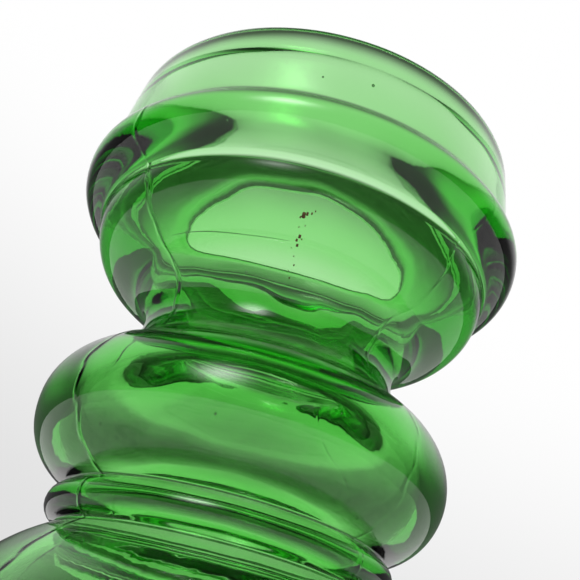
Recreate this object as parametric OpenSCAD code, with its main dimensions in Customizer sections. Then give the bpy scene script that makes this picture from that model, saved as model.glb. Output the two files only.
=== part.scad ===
// Hollow glass candlestick, blown as one bubble and turned about the Z axis.
// The outline is a string of arcs. Every arc is a circle in the half plane, so each
// glass section is a solid of revolution with true torus, cone and cylinder faces.
// The sections share their joint planes and meet face to face.

/* [Overall] */
// Height from the resting ring to the lip
total_h = 126; // [124:0.5:130]
// Thickness of the wall at the mouth
rim_wall = 3.2; // [2.8:0.1:3.6]
// Radius of the fire-polished lip
lip_round = 1.5; // [1:0.1:1.5]

/* [Rim] */
// Outer radius of the mouth at the lip
rim_r = 40; // [39.5:0.1:40.5]
// Outer radius where the rim wall stands on the ring
shoulder_r = 41.5; // [41:0.1:42]
// Height of the shoulder above the ring's widest line
shoulder_rise = 3.5; // [3:0.1:3.6]

/* [Collar ring] */
// Outer radius of the ring at its widest line
ring_r = 43.7; // [43.5:0.1:44.5]
// Height of the ring's widest line
ring_z = 105.4; // [105:0.1:105.8]
// Roundness of the ring's lower half
ring_round = 7; // [6.8:0.1:7.4]

/* [Cup bowl] */
// Outer radius of the bowl at its widest line
bowl_r = 38; // [37.5:0.1:38.2]
// Height of the bowl's widest line
bowl_z = 97.5; // [97:0.1:98]
// Roundness of the bowl outside
bowl_round = 11.5; // [11:0.1:12]
// Roundness of the bowl inside
bowl_in_round = 9; // [8:0.5:10]

/* [Neck] */
// Outer radius of the neck at its narrowest line
neck_r = 23.8; // [23:0.1:25]
// Inner radius of the neck at its narrowest line
neck_in_r = 17; // [16:0.1:18]
// Roundness of the neck inside, above its narrowest line
neck_in_round = 8; // [7:0.1:8.5]
// Height of the neck's narrowest line
neck_z = 79; // [78:0.1:80]

/* [Knop] */
// Outer radius of the knop at its widest line
knop_r = 36.3; // [35.5:0.1:37]
// Inner radius of the knop at its widest line
knop_in_r = 31.7; // [31:0.1:32]
// Height of the knop's widest line
knop_z = 59.6; // [59.4:0.1:60]
// Roundness of the knop outside
knop_round = 12.4; // [12.3:0.1:12.6]
// Roundness of the knop inside
knop_in_round = 9; // [8.6:0.1:9.3]
// Height of the crease between the knop and the merese
knop_foot_z = 47.5; // [47.4:0.1:47.6]

/* [Merese] */
// Outer radius of the merese, the thin ring between the knop and the foot
merese_r = 29.6; // [29.4:0.1:30]
// Radius of the passage through the merese
merese_in_r = 23.4; // [23:0.1:23.6]
// Height of the crease between the merese and the foot
merese_foot_z = 41.3; // [41.2:0.1:41.5]

/* [Foot] */
// Outer radius of the foot at its widest line
foot_r = 42.4; // [41.5:0.1:43.5]
// Height of the foot's widest line
foot_z = 14.8; // [14:0.1:15]
// Roundness of the dome above the widest line
dome_round = 30; // [29.8:0.1:30.4]
// Thickness of the foot's wall and floor
foot_wall = 3.6; // [3.4:0.1:4]
// Outer radius of the hollow under the base
kick_r = 20; // [16:0.5:22]
// Height of the hollow under the base
kick_h = 3; // [1:0.5:4]

/* [Hidden] */
$fn = 128;

// Bore of the mouth
mouth_r = rim_r - rim_wall;
shoulder_z = ring_z + shoulder_rise;

// Centres of the rounded faces in the half plane, as radius and height
ring_c = [ring_r - ring_round, ring_z];
bowl_c = [bowl_r - bowl_round, bowl_z];
bowl_in_c = [mouth_r - bowl_in_round, ring_z];
neck_in = [neck_in_r, neck_z];
neck_in_c = neck_in + [neck_in_round, 0];
knop_c = [knop_r - knop_round, knop_z];
knop_in_c = [knop_in_r - knop_in_round, knop_z];
dome_c = [foot_r - dome_round, foot_z];
base_c = [foot_r - foot_z, foot_z];
merese_round = (knop_foot_z - merese_foot_z) / 2;
merese_c = [merese_r - merese_round, (knop_foot_z + merese_foot_z) / 2];
merese_in = [merese_in_r, merese_c[1]];
dome_in_round = dome_round - foot_wall;

// Straight slope inside, from the bowl's circle across to the neck's circle. Its normal
// is the direction in which the two centres lie as far apart as the sum of the two radii.
slope_gap = neck_in_c - bowl_in_c;
slope_cos = (bowl_in_round + neck_in_round) / norm(slope_gap);
slope_n = slope_cos * slope_gap / norm(slope_gap)
    + sqrt(1 - pow(slope_cos, 2)) * [-slope_gap[1], slope_gap[0]] / norm(slope_gap);
// Depth by which its ends sink into the two circles, so that they cross cleanly
hair = 0.02;
slope_top = bowl_in_c + (bowl_in_round - hair) * slope_n;
slope_low = neck_in_c - (neck_in_round - hair) * slope_n;

// Arc from the ring's widest line that ends on the shoulder
ring_drop = ring_r - shoulder_r;
ring_top_round = (pow(ring_drop, 2) + pow(shoulder_rise, 2)) / (2 * ring_drop);

// Crease where the ring's circle crosses the bowl's circle
centre_gap = norm(ring_c - bowl_c);
out_dir = (ring_c - bowl_c) / centre_gap;
along = (pow(centre_gap, 2) + pow(bowl_round, 2) - pow(ring_round, 2)) / (2 * centre_gap);
across = sqrt(pow(bowl_round, 2) - pow(along, 2));
crease = bowl_c + along * out_dir + across * [out_dir[1], -out_dir[0]];

// Sphere of the shallow hollow under the base
kick_round = (pow(kick_r, 2) + pow(kick_h, 2)) / (2 * kick_h);

// Radius of the hollow arc that is upright at the point `narrow`
// and touches the circle of radius `round` about `centre`
function waist_round(narrow, centre, round) =
    let (d = narrow - centre)
    (pow(norm(d), 2) - pow(round, 2)) / (2 * (round - d[0]));

// Height at which the two touch
function touch_z(narrow, centre, round) =
    centre[1] + round * (narrow[1] - centre[1]) / (round + waist_round(narrow, centre, round));

// Roundness of the neck inside, below its narrowest line
neck_low_round = waist_round(neck_in, knop_in_c, knop_in_round);

// Joint heights above and below the neck, where its outer arcs touch the bowl and the knop
neck_out = [neck_r, neck_z];
bowl_neck_z = touch_z(neck_out, bowl_c, bowl_round);
neck_knop_z = touch_z(neck_out, knop_c, knop_round);

// Margin by which a cutting shape passes the edge it cuts
over = 1;
// Radius beyond every face, for shapes that only divide by height
clear_r = ring_r + 10;

module disc(centre, round) {
    translate(centre) circle(r = round);
}

// Rectangle from the axis out to radius r, between two heights
module band(z_low, z_high, r) {
    translate([0, z_low]) square([r, z_high - z_low]);
}

// A disc filled in to the axis
module rounded_disc(centre, round) {
    disc(centre, round);
    band(centre[1] - round, centre[1] + round, centre[0]);
}

// Part of such a disc between two heights
module rounded_band(centre, round, z_low, z_high) {
    intersection() {
        rounded_disc(centre, round);
        band(z_low, z_high, clear_r);
    }
}

// A waist: it has one hollow arc above its narrowest point and one below. The tighter arc
// lies inside the wider one past that point, so the two overlap and leave no film.
module waist(narrow, top_round, z_high, low_round, z_low) {
    top_is_tight = top_round < low_round;
    difference() {
        band(z_low, z_high, narrow[0] + max(top_round, low_round));
        intersection() {
            disc(narrow + [top_round, 0], top_round);
            band(narrow[1] - (top_is_tight ? over : 0), z_high + over, clear_r);
        }
        intersection() {
            disc(narrow + [low_round, 0], low_round);
            band(z_low - over, narrow[1] + (top_is_tight ? 0 : over), clear_r);
        }
    }
}

// The rim wall leans in a little from the shoulder to the rounded lip
module rim_shape() {
    lip_c = [rim_r - lip_round, total_h - lip_round];
    polygon([[0, shoulder_z], [shoulder_r, shoulder_z], [rim_r, lip_c[1]], [0, lip_c[1]]]);
    band(lip_c[1] - over, total_h, lip_c[0]);
    disc(lip_c, lip_round);
}

// Everything inside the outer face
module outer_outline() {
    rim_shape();
    rounded_band([ring_r - ring_top_round, ring_z], ring_top_round, ring_z - over, shoulder_z);
    rounded_band(ring_c, ring_round, crease[1], ring_z);
    rounded_band(bowl_c, bowl_round, bowl_neck_z, crease[1]);
    waist(neck_out, waist_round(neck_out, bowl_c, bowl_round), bowl_neck_z,
        waist_round(neck_out, knop_c, knop_round), neck_knop_z);
    rounded_band(knop_c, knop_round, knop_foot_z, neck_knop_z);
    rounded_band(merese_c, merese_round, merese_foot_z, knop_foot_z);
    rounded_band(dome_c, dome_round, foot_z, merese_foot_z);
    difference() {
        rounded_band(base_c, foot_z, 0, foot_z);
        disc([0, kick_h - kick_round], kick_round);
    }
}

// Everything inside the inner face. It is smoother than the outer face: the ring leaves
// no groove inside, so the glass is thickest behind the ring and in the bowl and neck.
// Whole discs are used where they stay inside the hollow, so that neighbours overlap.
module hollow_outline() {
    band(bowl_in_c[1] - over, total_h + over, mouth_r);
    rounded_disc(bowl_in_c, bowl_in_round);
    difference() {
        polygon([[0, neck_z], [neck_in_c[0], neck_z], slope_low, slope_top, [0, slope_top[1]]]);
        disc(neck_in_c, neck_in_round);
    }
    difference() {
        band(touch_z(neck_in, knop_in_c, knop_in_round), neck_z + over, neck_in_r + neck_low_round);
        disc(neck_in + [neck_low_round, 0], neck_low_round);
    }
    rounded_disc(knop_in_c, knop_in_round);
    waist(merese_in,
        waist_round(merese_in, knop_in_c, knop_in_round), touch_z(merese_in, knop_in_c, knop_in_round),
        waist_round(merese_in, dome_c, dome_in_round), touch_z(merese_in, dome_c, dome_in_round));
    rounded_band(dome_c, dome_in_round, foot_z, foot_z + dome_in_round);
    difference() {
        rounded_disc(base_c, foot_z - foot_wall);
        disc([0, kick_h - kick_round], kick_round + foot_wall);
    }
}

// Glass between two joint planes
module glass_section(z_low, z_high) {
    rotate_extrude() intersection() {
        difference() {
            outer_outline();
            hollow_outline();
        }
        band(z_low, z_high, clear_r);
    }
}

// Upright wall of the mouth, with the fire-polished lip
module rim_collar() {
    color([0.72, 0.88, 0.70]) glass_section(shoulder_z, total_h);
}

// Fat ring under the rim
module collar_ring() {
    color([0.44, 0.76, 0.42]) glass_section(crease[1], shoulder_z);
}

// Bowl that closes in under the ring and carries the candle
module cup_bowl() {
    color([0.48, 0.78, 0.44]) glass_section(bowl_neck_z, crease[1]);
}

// Hollow waist between the bowl and the knop
module neck() {
    color([0.40, 0.68, 0.36]) glass_section(neck_knop_z, bowl_neck_z);
}

// Round grip of the stem
module knop() {
    color([0.30, 0.58, 0.26]) glass_section(knop_foot_z, neck_knop_z);
}

// Thin ring between the knop and the foot
module merese() {
    color([0.26, 0.50, 0.22]) glass_section(merese_foot_z, knop_foot_z);
}

// Dome of the foot
module foot_dome() {
    color([0.24, 0.46, 0.20]) glass_section(foot_z, merese_foot_z);
}

// Closed base with the resting ring and the hollow under it
module foot_base() {
    color([0.22, 0.42, 0.18]) glass_section(0, foot_z);
}

rim_collar();
collar_ring();
cup_bowl();
neck();
knop();
merese();
foot_dome();
foot_base();
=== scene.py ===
# %% [markdown]
# # A blown glass candlestick
# The candlestick is one bubble of green glass, blown into a mould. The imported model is
# loaded first, because the glass takes its overall heights and widths from it and so fits
# the frame. The seeded generator gives the same waves in the glass on every run.

# %% Load the frame
import math

import bmesh
import bpy
import numpy as np
from mathutils import Matrix, Vector


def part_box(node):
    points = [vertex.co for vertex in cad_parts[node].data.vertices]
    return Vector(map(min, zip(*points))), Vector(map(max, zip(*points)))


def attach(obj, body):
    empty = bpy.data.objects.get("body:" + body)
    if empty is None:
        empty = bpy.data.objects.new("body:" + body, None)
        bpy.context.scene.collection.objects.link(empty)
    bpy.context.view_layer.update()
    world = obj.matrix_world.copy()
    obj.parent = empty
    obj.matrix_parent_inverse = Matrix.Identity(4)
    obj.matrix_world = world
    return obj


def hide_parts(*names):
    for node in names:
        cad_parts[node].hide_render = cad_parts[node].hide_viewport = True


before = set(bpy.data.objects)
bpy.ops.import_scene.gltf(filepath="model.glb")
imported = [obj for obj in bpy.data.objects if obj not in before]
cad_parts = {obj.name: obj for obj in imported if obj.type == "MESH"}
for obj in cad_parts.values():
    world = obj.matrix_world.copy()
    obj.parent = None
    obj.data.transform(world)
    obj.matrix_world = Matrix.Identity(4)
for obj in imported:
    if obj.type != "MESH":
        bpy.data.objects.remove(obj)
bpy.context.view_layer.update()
MM = 0.001
rng = np.random.default_rng(7)

# %% [markdown]
# ## The outline
# A blown form is a string of arcs turned about one axis, so the outline is worked out
# first, in the half plane of radius and height, in millimetres. The frame cuts the glass
# into named sections. Their boxes give the heights where the form changes and the widest
# radii, so those are read from the frame and not written down a second time.

# %% Heights and radii from the frame
def low(node):
    """Height of the bottom of a node's box, in millimetres."""
    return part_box(node)[0].z / MM


def high(node):
    """Height of the top of a node's box, in millimetres."""
    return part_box(node)[1].z / MM


def widest(node):
    """Half the width of a node's box, which is the node's largest radius."""
    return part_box(node)[1].x / MM


TOP = high("rim_collar")
SHOULDER_Z = low("rim_collar")
CREASE_Z = low("collar_ring")
KNOP_FOOT_Z = low("knop")
MERESE_FOOT_Z = low("merese")
FOOT_Z = low("foot_dome")
SHOULDER_R = widest("rim_collar")
RING_R = widest("collar_ring")
BOWL_R = widest("cup_bowl")
KNOP_R = widest("knop")
MERESE_R = widest("merese")
FOOT_R = widest("foot_dome")
LIP_LEAN = 1.5
LIP_R = SHOULDER_R - LIP_LEAN
print("rim", round(LIP_R, 1), "ring", round(RING_R, 1), "knop", round(KNOP_R, 1))

# %% [markdown]
# ## Arcs, lines and soft creases
# Each stretch of a moulded outline is part of a circle or a straight line. A spline could
# follow them too, but a circle keeps the radius it is given. Molten glass rounds every
# corner as it cools, so the finished outline is averaged along itself by a small amount.

# %% Arcs and lines
STEP = 0.05


def arc(centre, radius, start, end):
    """Points on a circle about centre, from one angle to the other in degrees."""
    count = max(3, int(abs(math.radians(end - start)) * radius / STEP))
    t = np.radians(np.linspace(start, end, count))
    return np.stack([centre[0] + radius * np.cos(t), centre[1] + radius * np.sin(t)], 1)


def line(a, b):
    """Points on the straight stretch from a to b."""
    a, b = np.array(a, float), np.array(b, float)
    count = max(3, int(np.linalg.norm(b - a) / STEP))
    return a + (b - a) * np.linspace(0, 1, count)[:, None]


def bearing(centre, point):
    """Angle in degrees of the direction from centre to point."""
    return math.degrees(math.atan2(point[1] - centre[1], point[0] - centre[0]))


def soften(points, sigma):
    """Rounds every crease: each point becomes the Gaussian mean of its neighbours
    along the outline, and the two ends are held."""
    step = np.linalg.norm(np.diff(points, axis=0), axis=1)
    s = np.concatenate([[0], np.cumsum(step)])
    even = np.arange(0, s[-1], STEP)
    even = np.append(even, s[-1])
    p = np.stack([np.interp(even, s, points[:, k]) for k in (0, 1)], 1)
    reach = int(3 * sigma / STEP)
    kernel = np.exp(-0.5 * (np.arange(-reach, reach + 1) * STEP / sigma) ** 2)
    kernel /= kernel.sum()
    before = 2 * p[0] - p[reach:0:-1]
    after = 2 * p[-1] - p[-2:-reach - 2:-1]
    wide = np.concatenate([before, p, after])
    return np.stack([np.convolve(wide[:, k], kernel, "valid") for k in (0, 1)], 1)


def resample(points, count):
    """The same outline with evenly spaced points."""
    step = np.linalg.norm(np.diff(points, axis=0), axis=1)
    s = np.concatenate([[0], np.cumsum(step)])
    even = np.linspace(0, s[-1], count)
    return np.stack([np.interp(even, s, points[:, k]) for k in (0, 1)], 1)

# %% [markdown]
# ## The outside, from the mould
# The mould gives the foot, merese, knop, bowl and collar ring their full round forms. A
# neck between two of them is a hollow arc that meets both without a corner. Its radius
# could be tried by eye, but a short formula finds the one that just touches.

# %% Outer outline, from the base to the lip
RING_ROUND = 7.0
BOWL_ROUND = 11.5
KNOP_ROUND = 12.4
DOME_ROUND = 30.0
NECK_R = 23.8
NECK_Z = 79.0
BOWL_Z = 97.5
RING_Z = 105.4
KNOP_Z = 59.6
LIP_ROUND = 1.5
KICK_R = 20.0
KICK_H = 3.0

ring_c = (RING_R - RING_ROUND, RING_Z)
bowl_c = (BOWL_R - BOWL_ROUND, BOWL_Z)
knop_c = (KNOP_R - KNOP_ROUND, KNOP_Z)
dome_c = (FOOT_R - DOME_ROUND, FOOT_Z)
base_c = (FOOT_R - FOOT_Z, FOOT_Z)
merese_round = (KNOP_FOOT_Z - MERESE_FOOT_Z) / 2
merese_c = (MERESE_R - merese_round, (KNOP_FOOT_Z + MERESE_FOOT_Z) / 2)
kick_round = (KICK_R ** 2 + KICK_H ** 2) / (2 * KICK_H)
kick_c = (0, KICK_H - kick_round)


def waist(narrow, centre, convex_round):
    """Radius of the hollow arc that is upright at the narrowest point and touches the
    convex arc about centre: both distances to the common point lie on one line."""
    dr, dz = narrow[0] - centre[0], narrow[1] - centre[1]
    return (dr ** 2 + dz ** 2 - convex_round ** 2) / (2 * (convex_round - dr))


neck_top = waist((NECK_R, NECK_Z), bowl_c, BOWL_ROUND)
neck_low = waist((NECK_R, NECK_Z), knop_c, KNOP_ROUND)
neck_top_c = (NECK_R + neck_top, NECK_Z)
neck_low_c = (NECK_R + neck_low, NECK_Z)
shoulder_drop = RING_R - SHOULDER_R
shoulder_rise = SHOULDER_Z - RING_Z
ring_top = (shoulder_drop ** 2 + shoulder_rise ** 2) / (2 * shoulder_drop)
ring_top_c = (RING_R - ring_top, RING_Z)
crease = (ring_c[0] + math.sqrt(RING_ROUND ** 2 - (RING_Z - CREASE_Z) ** 2), CREASE_Z)


def on_circle(centre, radius, z, side=1):
    """Point of a circle at height z, on its outer or inner side."""
    return (centre[0] + side * math.sqrt(max(0, radius ** 2 - (z - centre[1]) ** 2)), z)


def outer_outline():
    """Base, dome, merese, knop, neck, bowl, ring and rim, from the axis to the lip."""
    knop_low = on_circle(knop_c, KNOP_ROUND, KNOP_FOOT_Z)
    dome_top = on_circle(dome_c, DOME_ROUND, MERESE_FOOT_Z)
    to_knop = bearing(neck_low_c, knop_c)
    to_bowl = bearing(neck_top_c, bowl_c)
    lip_c = (LIP_R - LIP_ROUND, TOP - LIP_ROUND)
    return np.concatenate([
        arc(kick_c, kick_round, 90, bearing(kick_c, (KICK_R, 0))),
        line((KICK_R, 0), (base_c[0], 0)),
        arc(base_c, FOOT_Z, -90, 0),
        arc(dome_c, DOME_ROUND, 0, bearing(dome_c, dome_top)),
        arc(merese_c, merese_round, -90, 90),
        arc(knop_c, KNOP_ROUND, bearing(knop_c, knop_low), bearing(knop_c, neck_low_c)),
        arc(neck_low_c, neck_low, to_knop % 360, 180),
        arc(neck_top_c, neck_top, 180, to_bowl % 360),
        arc(bowl_c, BOWL_ROUND, bearing(bowl_c, neck_top_c), bearing(bowl_c, crease)),
        arc(ring_c, RING_ROUND, bearing(ring_c, crease), 0),
        arc(ring_top_c, ring_top, 0, bearing(ring_top_c, (SHOULDER_R, SHOULDER_Z))),
        line((SHOULDER_R, SHOULDER_Z), (LIP_R, lip_c[1])),
        arc(lip_c, LIP_ROUND, 0, 90),
    ])


print("neck arcs of", round(neck_top, 1), "mm above and", round(neck_low, 1), "mm below")

# %% [markdown]
# ## The hollow, from the breath
# Only air shapes the inside, so it follows the mould loosely: the wall is heavy at the
# ring and the neck and thinner at the knop. An even wall could be had by offsetting the
# outside, but then the ring and the neck would not go dark as heavy glass does. So the
# hollow has its own arcs, and a straight slope from the bowl to the neck.

# %% Inner outline, from the lip to the floor
MOUTH_R = 36.8
BOWL_IN_ROUND = 9.0
NECK_IN_R = 17.0
NECK_IN_ROUND = 8.0
KNOP_IN_R = 31.7
KNOP_IN_ROUND = 9.0
BORE_R = 23.4
FOOT_WALL = 3.6
LIP_IN_ROUND = 1.0


def crossing_line(centre_a, round_a, centre_b, round_b):
    """The straight line that leaves circle a on its outer side and reaches circle b on
    its inner side. Its normal n satisfies n . (b - a) = the sum of the two radii."""
    gap = np.array(centre_b, float) - np.array(centre_a, float)
    span = np.linalg.norm(gap)
    e = gap / span
    side = np.array([-e[1], e[0]])
    c = (round_a + round_b) / span
    n = c * e + math.sqrt(1 - c ** 2) * side
    return np.array(centre_a) + round_a * n, np.array(centre_b) - round_b * n


def inner_outline():
    """The hollow from the lip down to the floor: thick glass keeps a smoother inside
    than its mould, so the ring leaves no groove there."""
    lip_in_c = (MOUTH_R + LIP_IN_ROUND, TOP - LIP_IN_ROUND)
    bowl_in_c = (MOUTH_R - BOWL_IN_ROUND, RING_Z)
    neck_in = (NECK_IN_R, NECK_Z)
    top_c = (NECK_IN_R + NECK_IN_ROUND, NECK_Z)
    slope_a, slope_b = crossing_line(bowl_in_c, BOWL_IN_ROUND, top_c, NECK_IN_ROUND)
    knop_in_c = (KNOP_IN_R - KNOP_IN_ROUND, KNOP_Z)
    below = waist(neck_in, knop_in_c, KNOP_IN_ROUND)
    below_c = (NECK_IN_R + below, NECK_Z)
    bore = (BORE_R, merese_c[1])
    dome_in = DOME_ROUND - FOOT_WALL
    bore_top = waist(bore, knop_in_c, KNOP_IN_ROUND)
    bore_top_c = (BORE_R + bore_top, bore[1])
    bore_low = waist(bore, dome_c, dome_in)
    bore_low_c = (BORE_R + bore_low, bore[1])
    floor_in = FOOT_Z - FOOT_WALL
    kick_in = kick_round + FOOT_WALL
    kick_edge = (math.sqrt(kick_in ** 2 - (FOOT_WALL - kick_c[1]) ** 2), FOOT_WALL)
    return np.concatenate([
        arc(lip_in_c, LIP_IN_ROUND, 90, 180),
        line((MOUTH_R, TOP - LIP_IN_ROUND), (MOUTH_R, RING_Z)),
        arc(bowl_in_c, BOWL_IN_ROUND, 0, bearing(bowl_in_c, slope_a)),
        line(slope_a, slope_b),
        arc(top_c, NECK_IN_ROUND, bearing(top_c, slope_b) % 360, 180),
        arc(below_c, below, 180, bearing(below_c, knop_in_c) % 360),
        arc(knop_in_c, KNOP_IN_ROUND, bearing(knop_in_c, below_c), bearing(knop_in_c, bore_top_c)),
        arc(bore_top_c, bore_top, bearing(bore_top_c, knop_in_c) % 360, 180),
        arc(bore_low_c, bore_low, 180, bearing(bore_low_c, dome_c) % 360),
        arc(dome_c, dome_in, bearing(dome_c, bore_low_c), 0),
        arc(base_c, floor_in, 0, -90),
        line((base_c[0], FOOT_WALL), kick_edge),
        arc(kick_c, kick_in, bearing(kick_c, kick_edge), 90),
    ])


print("wall", round(LIP_R - MOUTH_R, 1), "mm at the rim,", round(NECK_R - NECK_IN_R, 1),
      "mm at the neck,", round(KNOP_R - KNOP_IN_R, 1), "mm at the knop")

# %% [markdown]
# ## Turning the outline into one closed skin
# Blown glass has one skin: it runs over the outside, round the lip and down the inside.
# Outside and inside are therefore one closed mesh, so that light bends only where air
# meets glass. The mould leaves a thin fin wherever two of its parts met. Spokes are packed
# closer together at those places, because a fin is much thinner than the usual spacing.

# %% Spokes, packed near the mould fins
FIN_ANGLES = [-136.0, -46.0, 44.0, 134.0]
FIN_HEIGHTS = [0.20, 0.06, 0.14, 0.06]
FIN_WIDTH = 0.22
SPOKES = 256
PACK_WIDTH = 0.05
PACK_GAIN = 7.0
FINE_STEPS = 20001


def turn_gap(a, b):
    """Signed angle from b to a, brought into the half turn on either side of zero."""
    return (a - b + math.pi) % (2 * math.pi) - math.pi


def spoke_angles(count):
    """Angles at equal steps of a running total. The total grows fastest near a fin:
    its rate is one plus a bell curve about each fin."""
    fine = np.linspace(-math.pi, math.pi, FINE_STEPS)
    rate = np.ones_like(fine)
    for fin in np.radians(FIN_ANGLES):
        rate += PACK_GAIN * np.exp(-0.5 * (turn_gap(fine, fin) / PACK_WIDTH) ** 2)
    total = np.concatenate([[0], np.cumsum((rate[1:] + rate[:-1]) / 2)])
    return np.interp(np.arange(count) / count * total[-1], total, fine)


spokes = spoke_angles(SPOKES)
print("spokes", SPOKES, "closest", round(float(np.diff(spokes).min() * LIP_R), 2), "mm at the rim")

# %% [markdown]
# ## What keeps it from a perfect turn
# Blown glass is a little wavy, least against the mould and most on its free inside. Noise
# could push the points about, but it would have to match where the turn closes. A sum of
# cosines with a whole number of turns closes by itself. The fins are low ridges whose
# line wanders, because the hot glass creeps into the joint of the mould unevenly.

# %% Small departures from a perfect turn
WANDER = [(0.018, 3.1, 9), (0.009, 0.9, 1)]
FIN_FADE_DROP = 2.5
FIN_FADE_WIDTH = 0.8


def waves(angle, height, swing, count, turns, pitch):
    """Sum of cosines of a whole number of turns in angle and of a wavelength in height,
    with seeded phases. Whole turns keep the skin closed."""
    out = 0 * angle * height
    for _ in range(count):
        k = rng.integers(turns[0], turns[1])
        m = 2 * math.pi / rng.uniform(*pitch)
        phase = rng.uniform(0, 2 * math.pi)
        out = out + np.cos(k * angle + m * height + phase)
    return swing * out / math.sqrt(count)


def fins(angle, height, radius):
    """Height of the mould fins: a narrow bell across each fin, whose line wanders a
    little and whose height comes and goes. They fade out below the polished lip."""
    out = 0 * angle * height
    below_rim = 1 / (1 + np.exp((height - SHOULDER_Z + FIN_FADE_DROP) / FIN_FADE_WIDTH))
    for fin, tall in zip(np.radians(FIN_ANGLES), FIN_HEIGHTS):
        wander = sum(swing * np.sin(height / pitch + shift * fin) for swing, pitch, shift in WANDER)
        across = turn_gap(angle, fin + wander) * radius
        rough = 0.75 + 0.35 * np.sin(height / 1.7 + 5 * fin) * np.sin(height / 0.6)
        out = out + tall * rough * below_rim * np.exp(-0.5 * (across / FIN_WIDTH) ** 2)
    return out


# %% Turn the outline
OUTER_ROWS = 236
INNER_ROWS = 140
OUTER_SOFT = 0.4
INNER_SOFT = 0.8
OUTER_WAVES = [(0.05, 10, (2, 7), (14, 60)), (0.012, 14, (9, 26), (5, 22))]
INNER_WAVES = [(0.14, 10, (1, 6), (16, 70)), (0.035, 14, (7, 22), (7, 30))]
FOOT_CALM = 6
AXIS_CALM = 12
LIP_CALM = 4
LIP_BEAD = 0.8
BEAD_DROP = 3.6
BEAD_WIDTH = 1.1


def turned(points, is_outer):
    """Grid of points: radius times the cosine and sine of the angle, and the height. The
    radius has the waves and, outside, the fins added. They ease to nothing at the foot,
    at the axis and, inside, at the lip. A bell of extra glass thickens the lip inside."""
    t = spokes[None]
    r, z = points[:, 0][:, None], points[:, 1][:, None]
    free = np.clip((z - FOOT_CALM) / FOOT_CALM, 0, 1) * np.clip(r / AXIS_CALM, 0, 1)
    if is_outer:
        swell = sum(waves(t, z, *spec) for spec in OUTER_WAVES)
        r = r + free * swell + free * fins(t, z, r)
    else:
        swell = sum(waves(t, z, *spec) for spec in INNER_WAVES)
        lip_bead = LIP_BEAD * np.exp(-0.5 * ((z - TOP + BEAD_DROP) / BEAD_WIDTH) ** 2)
        r = r + free * np.clip((TOP - z) / LIP_CALM, 0, 1) * swell - lip_bead
    return np.stack([r * np.cos(t), r * np.sin(t), z + 0 * r * t], 2) * MM


def shell_mesh(name, grid):
    """A closed mesh from a grid whose first and last rows lie on the axis: quads between
    the rows and a fan of triangles at each end."""
    rows, around = grid.shape[:2]
    ring = np.arange(around)
    nxt = (ring + 1) % around
    start = np.arange(rows - 2)[:, None] * around + 1
    verts = np.concatenate([grid[:1, 0], grid[1:-1].reshape(-1, 3), grid[-1:, 0]])
    a, b = start[:-1] + ring, start[:-1] + nxt
    quads = np.stack([a, b, b + around, a + around], 2).reshape(-1, 4)
    last, tip = len(verts) - 1, (rows - 3) * around + 1
    first_fan = np.stack([np.zeros(around, int), 1 + nxt, 1 + ring], 1)
    last_fan = np.stack([np.full(around, last), tip + ring, tip + nxt], 1)
    mesh = bpy.data.meshes.new(name)
    mesh.from_pydata(verts.tolist(), [], quads.tolist() + first_fan.tolist() + last_fan.tolist())
    mesh.polygons.foreach_set("use_smooth", np.ones(len(mesh.polygons), bool))
    mesh.update()
    return mesh


outer = resample(soften(outer_outline(), OUTER_SOFT), OUTER_ROWS)
inner = resample(soften(inner_outline(), INNER_SOFT), INNER_ROWS + 1)[1:]
grid = np.concatenate([turned(outer, True), turned(inner, False)])
grid[0, :, :2] = grid[-1, :, :2] = 0
print("skin of", grid.shape[0], "rows by", grid.shape[1], "spokes")

# %% [markdown]
# ## Seeds in the glass
# Plain bottle glass holds seeds: tiny bubbles that never rose out of the melt. One of
# them was drawn out to a hair as the bowl was blown, and shows as a thin dark line. A
# seed could be a dark speck in the material, but it would not bend light. Here it is a
# small closed surface inside the wall whose faces look inwards, towards its own air, so
# it joins the glass mesh as a hole in the volume.

# %% Seeds
SEED_PLACES = [
    (-82, 115.6, 0.26), (-94, 114.2, 0.18), (-106, 84.3, 0.20), (-53, 49.8, 0.26),
    (-128, 53.0, 0.24), (-123, 51.5, 0.20), (-98, 56.0, 0.16), (-70, 61.0, 0.18),
    (-112, 102.0, 0.18), (-60, 93.0, 0.16), (35, 60.0, 0.26), (80, 104.0, 0.22),
    (150, 88.0, 0.20), (110, 52.0, 0.24), (-20, 30.0, 0.30), (170, 24.0, 0.26),
    (-90, 33.0, 0.24), (60, 28.0, 0.28)]
SEED_DEPTH = 1.2
SEED_STRETCH = 1.4
HAIR_FROM, HAIR_TO = -131.0, -92.0
HAIR_Z = 87.4
HAIR_ROUND = 0.10
HAIR_DEPTH = 0.5
HAIR_TAPER = 0.4
HAIR_WANDER = 0.2
HAIR_BEND = 7


def ball(rows, around):
    """Unit sphere: rings at equal angles from pole to pole, faces turned inwards."""
    polar = np.linspace(0, math.pi, rows)[:, None]
    t = np.linspace(0, 2 * math.pi, around, endpoint=False)[None]
    return np.stack([np.sin(polar) * np.cos(t), np.sin(polar) * np.sin(t), np.cos(polar) + 0 * t], 2)


def outer_radius(height):
    """Radius of the outer skin at a height, on the part that rises from the foot."""
    rising = outer[outer[:, 1] > 1]
    order = np.argsort(rising[:, 1])
    return float(np.interp(height, rising[order, 1], rising[order, 0]))


def seeds():
    """One small bubble mesh per place, a little under the skin: a sphere times its size,
    stretched along the height, about its centre."""
    meshes = []
    for angle, height, size in SEED_PLACES:
        r = outer_radius(height) - SEED_DEPTH
        a = math.radians(angle)
        centre = np.array([r * math.cos(a), r * math.sin(a), height])
        bubble = ball(8, 12) * size * np.array([1, 1, SEED_STRETCH])
        meshes.append(shell_mesh("seed", (centre + bubble) * MM))
    return meshes


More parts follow.
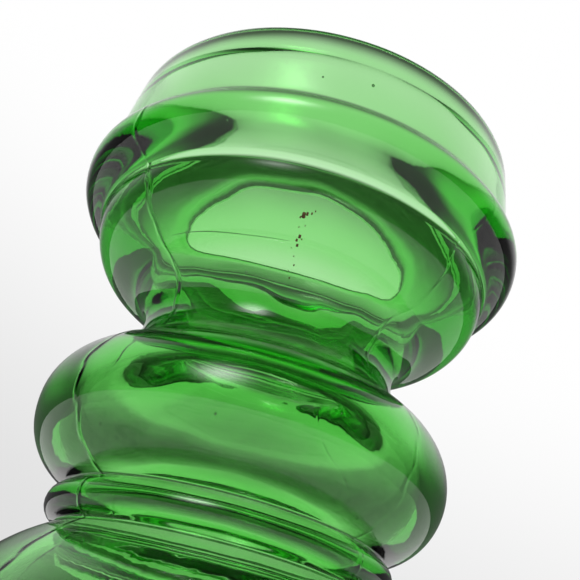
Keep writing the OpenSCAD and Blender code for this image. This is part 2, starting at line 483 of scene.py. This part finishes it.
def hair_bubble(rows, around):
    """A bubble drawn out along the turn: small rings about an arc of the circle. Their
    radius is a power of the sine of the share, so it eases to a point at each end."""
    share = np.linspace(0, 1, rows)[:, None]
    a = np.radians(HAIR_FROM + (HAIR_TO - HAIR_FROM) * share)
    t = np.linspace(0, 2 * math.pi, around, endpoint=False)[None]
    thick = HAIR_ROUND * np.sin(math.pi * share) ** HAIR_TAPER
    r = outer_radius(HAIR_Z) - HAIR_DEPTH + thick * np.cos(t)
    z = HAIR_Z + HAIR_WANDER * np.sin(HAIR_BEND * share) + thick * np.sin(t)
    return np.stack([r * np.cos(a), r * np.sin(a), z], 2)


def joined(name, meshes):
    """One smooth mesh that holds all the given closed meshes, in their order."""
    together = bmesh.new()
    for mesh in meshes:
        together.from_mesh(mesh)
        bpy.data.meshes.remove(mesh)
    whole = bpy.data.meshes.new(name)
    together.to_mesh(whole)
    together.free()
    whole.polygons.foreach_set("use_smooth", np.ones(len(whole.polygons), bool))
    return whole


hair = shell_mesh("seed", hair_bubble(50, 6) * MM)
glass_mesh = joined("blown_glass", [shell_mesh("skin", grid)] + seeds() + [hair])
glass = bpy.data.objects.new("blown_glass", glass_mesh)
bpy.context.scene.collection.objects.link(glass)
print("glass", len(glass_mesh.vertices), "points,", len(glass_mesh.polygons), "faces")

# %% [markdown]
# ## Writing shader maths as expressions
# A material is a graph of small sums. Wrapping a socket in a class that answers to plus,
# minus and times lets the graph be written as the formula it stands for.

# %% Socket wrapper
class Sock:
    """A socket that adds a Math node for each sum it takes part in."""

    def __init__(self, graph, out):
        self.graph, self.out = graph, out

    def sum(self, kind, a, b):
        return self.graph.add("ShaderNodeMath", {"operation": kind}, {0: a, 1: b})

    def __add__(self, other):
        return self.sum("ADD", self, other)

    def __sub__(self, other):
        return self.sum("SUBTRACT", self, other)

    def __mul__(self, other):
        return self.sum("MULTIPLY", self, other)

    def __rsub__(self, other):
        return self.sum("SUBTRACT", other, self)

    __radd__, __rmul__ = __add__, __mul__


class Graph:
    """A node tree that takes nodes by type, settings and socket values or links."""

    def __init__(self, owner):
        owner.use_nodes = True
        self.tree = owner.node_tree

    def node(self, name):
        """A node that the tree already has."""
        return self.tree.nodes[name]

    def feed(self, node, sockets):
        """Links the sockets that are given another socket, and sets the rest."""
        for key, value in sockets.items():
            if isinstance(value, Sock):
                self.tree.links.new(value.out, node.inputs[key])
            else:
                node.inputs[key].default_value = value

    def add(self, kind, settings=None, sockets=None, out=0):
        """A new node with its settings first and its sockets after, as one output."""
        node = self.tree.nodes.new(kind)
        for key, value in (settings or {}).items():
            setattr(node, key, value)
        self.feed(node, sockets or {})
        return Sock(self, node.outputs[out])

    def smooth(self, value, low, high, out_low=0.0, out_high=1.0):
        """Eases from out_low to out_high as the value passes from low to high."""
        return self.add("ShaderNodeMapRange", {"interpolation_type": "SMOOTHSTEP"}, {
            "Value": value, "From Min": low, "From Max": high,
            "To Min": out_low, "To Max": out_high})


# %% [markdown]
# ## Green glass
# The colour is in the body of the glass, not on its skin: iron and chromium in the melt
# swallow red and blue light, so a thick place is dark green and a thin one pale. That is a
# volume that absorbs, behind a clear skin. A green skin would be simpler, but it would
# make thick and thin glass the same green. The skin has the faint orange peel of an iron
# mould, which is a bump, and a dull film in places, which is a little roughness.

# %% Glass finish
GLASS_TINT = (0.17, 0.80, 0.07, 1)
GLASS_DENSITY = 235.0
GLASS_IOR = 1.52
PEEL_DEPTH = 0.00003
PEEL_SCALE, CHILL_SCALE, FILM_SCALE = 420.0, 130.0, 60.0
PEEL_SHARE = 0.35
DRAW = 0.35
FILM_FROM, FILM_FULL = 0.5, 0.8
FILM_ROUGH = 0.035


def glass_finish():
    """Clear refracting skin over an absorbing green volume. The bump is a share of the
    fine peel plus the coarse chill, and the roughness rises where the film is thick."""
    mat = bpy.data.materials.new("green_glass")
    g = Graph(mat)
    place = g.add("ShaderNodeTexCoord", out=3)
    drawn = g.add("ShaderNodeMapping", {}, {"Vector": place, "Scale": (1, 1, DRAW)})
    peel = g.add("ShaderNodeTexNoise", {}, {"Vector": drawn, "Scale": PEEL_SCALE, "Detail": 2.0})
    chill = g.add("ShaderNodeTexNoise", {}, {"Vector": drawn, "Scale": CHILL_SCALE, "Detail": 1.0})
    film = g.add("ShaderNodeTexNoise", {}, {"Vector": place, "Scale": FILM_SCALE, "Detail": 3.0})
    skin = g.add("ShaderNodeBump", {}, {"Height": peel * PEEL_SHARE + chill, "Strength": 1.0,
                                        "Distance": PEEL_DEPTH})
    g.feed(g.node("Principled BSDF"), {
        "Base Color": (1, 1, 1, 1), "Transmission Weight": 1.0, "IOR": GLASS_IOR,
        "Roughness": g.smooth(film, FILM_FROM, FILM_FULL, 0.0, FILM_ROUGH), "Normal": skin})
    body = g.add("ShaderNodeVolumeAbsorption", {}, {"Color": GLASS_TINT, "Density": GLASS_DENSITY})
    g.tree.links.new(body.out, g.node("Material Output").inputs["Volume"])
    print("glass finish with", len(g.tree.nodes), "nodes")
    return mat


glass_mesh.materials.append(glass_finish())
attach(glass, "root")
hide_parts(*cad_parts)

# %% [markdown]
# ## Specks of old residue
# A little brown dirt has dried in a broken line on the front of the bowl. It could be a
# stain in the glass material, but real dirt stands on the skin and catches light. Each
# speck is a flat lump that hugs the skin, with its own angle, height and size.

# %% Residue
SPECK_LINE = [(-90.2, 90.2, 0.42), (-89.4, 90.5, 0.26), (-88.3, 90.7, 0.18), (-87.6, 91.1, 0.14),
              (-90.9, 89.9, 0.16), (-89.7, 87.9, 0.30), (-90.3, 87.5, 0.24), (-89.8, 87.1, 0.26),
              (-89.0, 87.7, 0.14), (-90.0, 86.3, 0.12), (-89.2, 85.6, 0.16), (-90.5, 84.9, 0.10),
              (-89.6, 84.1, 0.14), (-90.6, 88.8, 0.11), (-89.1, 89.1, 0.10), (-91.3, 86.8, 0.10)]
SPECK_SHAPE = (0.22, 0.7, 1.0)
SPECK_LIFT = 0.06
LUMP_SWING = 0.3
RIDGE_SWING = 0.2
SLOPE_REACH = 0.3
DIRT_DARK = (0.030, 0.012, 0.004, 1)
DIRT_LIGHT = (0.16, 0.085, 0.025, 1)


def speck(angle, height, size):
    """A flattened lumpy ball on the outer skin. Its radius is one plus a sine of three
    times its own angle and a sine of five times its own height. Its three axes lie away
    from the skin, along the turn and up the slope."""
    a = math.radians(angle)
    unit = ball(10, 16)[:, ::-1]
    lumps = 1 + LUMP_SWING * np.sin(3 * np.arctan2(unit[..., 1], unit[..., 0]) + height)
    lumps = lumps + RIDGE_SWING * np.sin(5 * unit[..., 2] + angle)
    p = unit * lumps[..., None] * size * np.array(SPECK_SHAPE)
    out = np.array([math.cos(a), math.sin(a), 0])
    side = np.array([-math.sin(a), math.cos(a), 0])
    above, below = outer_radius(height + SLOPE_REACH), outer_radius(height - SLOPE_REACH)
    slope = (above - below) / (2 * SLOPE_REACH)
    climb = np.array([out[0] * slope, out[1] * slope, 1]) / math.hypot(1, slope)
    away = np.cross(side, climb)
    centre = out * outer_radius(height) + np.array([0, 0, height]) + away * SPECK_LIFT
    return (centre + p[..., :1] * away + p[..., 1:2] * side + p[..., 2:] * climb) * MM


def dirt_finish():
    """Matt brown: one fine noise mixes the dark and the light brown and drives the bump."""
    mat = bpy.data.materials.new("dried_residue")
    g = Graph(mat)
    place = g.add("ShaderNodeTexCoord", out=3)
    grain = g.add("ShaderNodeTexNoise", {}, {"Vector": place, "Scale": 2500.0, "Detail": 3.0})
    shade = g.add("ShaderNodeMix", {"data_type": "RGBA"}, {}, out=2)
    mix = shade.out.node
    g.feed(mix, {"Factor": grain})
    mix.inputs[6].default_value = DIRT_DARK
    mix.inputs[7].default_value = DIRT_LIGHT
    crumb = g.add("ShaderNodeBump", {}, {"Height": grain, "Strength": 0.6, "Distance": 0.0001})
    g.feed(g.node("Principled BSDF"), {"Base Color": shade, "Roughness": 0.8, "Normal": crumb})
    return mat


specks_mesh = joined("residue_specks", [shell_mesh("speck", speck(*place)) for place in SPECK_LINE])
specks_mesh.materials.append(dirt_finish())
specks = bpy.data.objects.new("residue_specks", specks_mesh)
bpy.context.scene.collection.objects.link(specks)
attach(specks, "root")
print("residue", len(SPECK_LINE), "specks")

# %% [markdown]
# ## Floor
# The floor is a wide pale disc of matt card, under the foot and well past the view. It
# belongs to the studio and not to the candlestick, so it is left out of the candlestick's body.
# A plain plane would do, but a faint tooth keeps the card from looking like plastic.

# %% Floor
FLOOR_R = 2.5
FLOOR_TONE = (0.86, 0.86, 0.85, 1)


def floor_finish():
    """Pale matt card with a fine noise for its tooth."""
    mat = bpy.data.materials.new("pale_card")
    g = Graph(mat)
    place = g.add("ShaderNodeTexCoord", out=3)
    tooth = g.add("ShaderNodeTexNoise", {}, {"Vector": place, "Scale": 900.0, "Detail": 3.0})
    bump = g.add("ShaderNodeBump", {}, {"Height": tooth, "Strength": 0.15, "Distance": 0.0002})
    g.feed(g.node("Principled BSDF"), {"Base Color": FLOOR_TONE, "Roughness": 0.75, "Normal": bump})
    return mat


bpy.ops.mesh.primitive_circle_add(vertices=128, radius=FLOOR_R, fill_type="NGON")
floor = bpy.context.object
floor.name = "floor"
floor.data.materials.append(floor_finish())
print("floor", 2 * FLOOR_R, "m across")

# %% [markdown]
# ## Studio light
# Glass has no look of its own: it shows the room, bent. The room is a pale studio whose
# bright part is a broad wall of light behind the piece, and which is dimmer low down,
# overhead and behind the viewer. Those dim parts draw the dark edges of the glass, and
# one soft window behind the viewer gives it whitish glints. Lamps could do this, but
# their hard shapes would show in the glass, so the light is a smooth sum over direction.
# What is seen straight past the piece is a pale backdrop that the glass does not show,
# with painted shade that darkens it low down and towards the west, and the floor has an
# even light of its own, so that it stays pale in every view.

# %% Light over direction
LOW_LIGHT = 0.12
WALL_LIGHT = 1.0
HIGH_LIGHT = 0.50
BACK_LIGHT = 0.03
WALL_FROM = 0.20
WALL_FULL = 0.60
CEILING_FROM = 0.84
CEILING_FULL = 0.99
WINDOW_LIGHT = 9.0
WINDOW_TIGHT = 70.0
WINDOW_WAY = Vector((-0.30, -0.72, 0.62)).normalized()
TURN_EDGE = 0.35
BACKDROP_LOW, BACKDROP_HIGH = 0.74, 1.0
BACKDROP_FULL = 0.55
BACKDROP_LEAN = 0.25
FLOOR_LIGHT = 0.95

world = bpy.data.worlds.new("studio")
bpy.context.scene.world = world
w = Graph(world)
split = w.add("ShaderNodeSeparateXYZ", {}, {"Vector": w.add("ShaderNodeTexCoord")}).out.node
east, north, rise = (Sock(w, split.outputs[k]) for k in range(3))
wall = w.smooth(rise, WALL_FROM, WALL_FULL, LOW_LIGHT, WALL_LIGHT)
ceiling = w.smooth(rise, CEILING_FROM, CEILING_FULL)
front = wall * (1 - ceiling) + ceiling * HIGH_LIGHT
facing = w.smooth(north, -TURN_EDGE, TURN_EDGE)
toward = w.add("ShaderNodeVectorMath", {"operation": "DOT_PRODUCT"},
               {0: w.add("ShaderNodeTexCoord"), 1: WINDOW_WAY}, out=1)
window = w.add("ShaderNodeMath", {"operation": "EXPONENT"}, {0: (toward - 1) * WINDOW_TIGHT})
studio = front * facing + (1 - facing) * BACK_LIGHT + window * WINDOW_LIGHT
# painted shade: the backdrop grows darker low down and towards the west
backdrop = w.smooth(rise + east * BACKDROP_LEAN, 0.0, BACKDROP_FULL, BACKDROP_LOW, BACKDROP_HIGH)

# %% Which light a ray finds
# Rays straight from the camera find the backdrop, rays that a glossy or clear surface
# turned find the studio, and the rest, which light matt surfaces, find the even light.
path = w.add("ShaderNodeLightPath").out.node
seen = Sock(w, path.outputs["Is Camera Ray"])
in_glass = Sock(w, path.outputs["Is Glossy Ray"]) + Sock(w, path.outputs["Is Transmission Ray"])
in_glass = w.smooth(in_glass, 0.0, 1.0)
on_floor = (1 - seen) * (1 - in_glass)
w.feed(w.node("Background"), {
    "Color": (1, 1, 1, 1),
    "Strength": backdrop * seen + studio * in_glass + on_floor * FLOOR_LIGHT})
bpy.context.scene.view_settings.view_transform = "Standard"
print("studio of", len(w.tree.nodes), "nodes")

# %% [markdown]
# ## Camera
# The candlestick is seen from close by and from below its rim, with the camera tilted up
# and rolled, so the upright piece leans in the view. An empty target could aim the camera,
# but three angles and two distances say the same with nothing extra in the scene. The
# distances are in rim radii, so the view follows the size of the piece.

# %% Camera
TILT, PAN, ROLL = 0.4901, 0.0072, 0.2528
EYE_BACK, EYE_DROP = 3.439, 2.592
LENS = 48.6
EYE = Vector((0, -EYE_BACK * LIP_R, TOP - EYE_DROP * LIP_R)) * MM
ahead = Vector((math.sin(PAN) * math.cos(TILT), math.cos(PAN) * math.cos(TILT), math.sin(TILT)))
level = Vector((math.cos(PAN), -math.sin(PAN), 0))
up = level.cross(ahead)
right = level * math.cos(ROLL) + up * math.sin(ROLL)
above = up * math.cos(ROLL) - level * math.sin(ROLL)
cam = bpy.data.cameras.new("camera")
cam.lens = LENS
cam.sensor_width = 36
cam.clip_start = 0.005
cam_ob = bpy.data.objects.new("camera", cam)
cam_ob.matrix_world = Matrix((
    (right.x, above.x, -ahead.x, EYE.x),
    (right.y, above.y, -ahead.y, EYE.y),
    (right.z, above.z, -ahead.z, EYE.z),
    (0, 0, 0, 1)))
bpy.context.scene.collection.objects.link(cam_ob)
bpy.context.scene.camera = cam_ob
print("camera", round(EYE.length, 3), "m from the foot")
